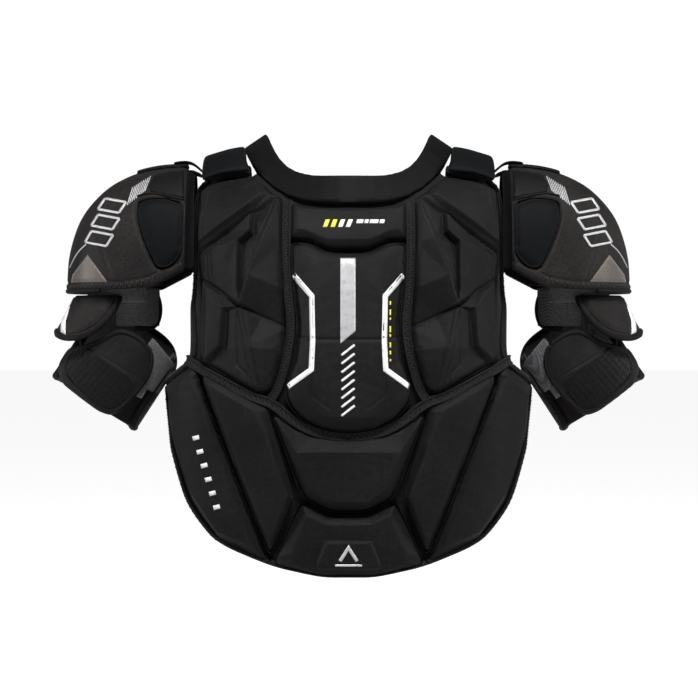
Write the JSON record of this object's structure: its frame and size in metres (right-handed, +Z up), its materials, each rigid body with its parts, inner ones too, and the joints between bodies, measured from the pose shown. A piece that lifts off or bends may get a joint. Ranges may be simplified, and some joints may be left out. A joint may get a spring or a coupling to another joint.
{
  "type": "hockey shoulder pads",
  "caption": "Padded ice-hockey vest with collar, hinged shoulder caps, biceps guards, cuffs with opening flaps, rib straps and an abdominal pad.",
  "frame": {"origin": "on the wearer's mid-plane, half-way between chest and back, at the height of the lowest hem of the back panel", "axes": "+Z up, +X to the wearer's right, +Y the way the wearer faces, so the back panel faces -Y"},
  "size_m": [0.6436, 0.281, 0.4723],
  "materials": {
    "mesh_lining": "black open-knit mesh over thin foam",
    "shell_fabric": "woven nylon over moulded foam",
    "cap_fabric": "charcoal-brown woven nylon over moulded foam",
    "neoprene": "blue-black stretch knit over foam",
    "elastic": "woven elastic webbing",
    "hook_tape": "hook-and-loop tape",
    "grey_mesh": "light grey spacer mesh",
    "insert_plastic": "polyethylene sheet",
    "foam": "closed-cell foam"
  },
  "bodies": {
    "back": {"back_liner": "mesh_lining", "upper_back_pad_left": "shell_fabric", "upper_back_pad_right": "shell_fabric", "spine_yoke_pad": "shell_fabric", "spine_pad": "shell_fabric", "spine_plate": "insert_plastic", "lower_back_shield": "shell_fabric", "tail_pad": "shell_fabric", "flank_pad_left": "shell_fabric", "flank_pad_right": "shell_fabric", "back_wing_left": "shell_fabric", "back_wing_right": "shell_fabric", "collar_back": "neoprene", "clavicle_pad_left": "shell_fabric", "clavicle_pad_right": "shell_fabric", "shoulder_web_left": "elastic", "shoulder_web_right": "elastic"},
    "front": {"front_liner": "mesh_lining", "chest_pad_left": "shell_fabric", "chest_pad_right": "shell_fabric", "sternum_pad": "shell_fabric", "sternum_plate": "insert_plastic", "rib_pad_left": "shell_fabric", "rib_pad_right": "shell_fabric", "loop_patch_left": "hook_tape", "loop_patch_right": "hook_tape", "collar_front": "neoprene"},
    "belly": {"belly_pad": "shell_fabric"},
    "cap_left": {"shoulder_cap_left": "cap_fabric", "deltoid_pad_rear_left": "neoprene", "deltoid_pad_front_left": "neoprene", "cap_plate_left": "insert_plastic", "cap_foam_left": "foam", "cap_strap_left": "elastic"},
    "guard_left": {"bicep_guard_left": "cap_fabric", "bicep_guard_plate_left": "insert_plastic", "bicep_liner_left": "grey_mesh"},
    "cuff_left": {"cuff_pad_left": "shell_fabric", "cuff_liner_left": "grey_mesh", "cuff_elastic_left": "elastic"},
    "flap_left": {"cuff_flap_left": "elastic", "hook_patch_left": "hook_tape"},
    "strap_left": {"rib_strap_left": "elastic", "strap_tab_left": "hook_tape"},
    "cap_right": {"shoulder_cap_right": "cap_fabric", "deltoid_pad_rear_right": "neoprene", "deltoid_pad_front_right": "neoprene", "cap_plate_right": "insert_plastic", "cap_foam_right": "foam", "cap_strap_right": "elastic"},
    "guard_right": {"bicep_guard_right": "cap_fabric", "bicep_guard_plate_right": "insert_plastic", "bicep_liner_right": "grey_mesh"},
    "cuff_right": {"cuff_pad_right": "shell_fabric", "cuff_liner_right": "grey_mesh", "cuff_elastic_right": "elastic"},
    "flap_right": {"cuff_flap_right": "elastic", "hook_patch_right": "hook_tape"},
    "strap_right": {"rib_strap_right": "elastic", "strap_tab_right": "hook_tape"}
  },
  "joints": [
    {"name": "front_lift", "type": "hinge", "parent": "back", "child": "front", "pos_m": [0, 0.0445, 0.453], "axis": [1, 0, 0], "range_deg": [0, 25], "stiffness_Nm_per_rad": 0.6},
    {"name": "belly_flex", "type": "hinge", "parent": "front", "child": "belly", "pos_m": [0, 0.1295, 0.199], "axis": [1, 0, 0], "range_deg": [-5, 30], "stiffness_Nm_per_rad": 0.15},
    {"name": "cap_raise_left", "type": "hinge", "parent": "back", "child": "cap_left", "pos_m": [-0.176, 0, 0.437], "axis": [0, 1, 0], "range_deg": [0, 55], "stiffness_Nm_per_rad": 0.2},
    {"name": "guard_raise_left", "type": "hinge", "parent": "cap_left", "child": "guard_left", "pos_m": [-0.289, 0, 0.298], "axis": [0, 1, 0], "range_deg": [0, 18], "stiffness_Nm_per_rad": 0.08},
    {"name": "cuff_swing_left", "type": "hinge", "parent": "guard_left", "child": "cuff_left", "pos_m": [-0.264, 0, 0.258], "axis": [0, 1, 0], "range_deg": [-4, 8], "stiffness_Nm_per_rad": 0.08},
    {"name": "flap_open_left", "type": "hinge", "parent": "cuff_left", "child": "flap_left", "pos_m": [-0.2198, -0.03, 0.1958], "axis": [0.5446, 0, 0.8387], "range_deg": [0, 75], "stiffness_Nm_per_rad": 0.01},
    {"name": "strap_open_left", "type": "hinge", "parent": "back", "child": "strap_left", "pos_m": [-0.186, -0.0095, 0.1805], "axis": [0, 0, 1], "range_deg": [0, 18], "stiffness_Nm_per_rad": 0.005},
    {"name": "cap_raise_right", "type": "hinge", "parent": "back", "child": "cap_right", "pos_m": [0.176, 0, 0.437], "axis": [0, -1, 0], "range_deg": [0, 55], "stiffness_Nm_per_rad": 0.2},
    {"name": "guard_raise_right", "type": "hinge", "parent": "cap_right", "child": "guard_right", "pos_m": [0.289, 0, 0.298], "axis": [0, -1, 0], "range_deg": [0, 18], "stiffness_Nm_per_rad": 0.08},
    {"name": "cuff_swing_right", "type": "hinge", "parent": "guard_right", "child": "cuff_right", "pos_m": [0.264, 0, 0.258], "axis": [0, -1, 0], "range_deg": [-4, 8], "stiffness_Nm_per_rad": 0.08},
    {"name": "flap_open_right", "type": "hinge", "parent": "cuff_right", "child": "flap_right", "pos_m": [0.2198, -0.03, 0.1958], "axis": [0.5446, 0, -0.8387], "range_deg": [0, 75], "stiffness_Nm_per_rad": 0.01},
    {"name": "strap_open_right", "type": "hinge", "parent": "back", "child": "strap_right", "pos_m": [0.186, -0.0095, 0.1805], "axis": [0, 0, -1], "range_deg": [0, 18], "stiffness_Nm_per_rad": 0.005}
  ]
}
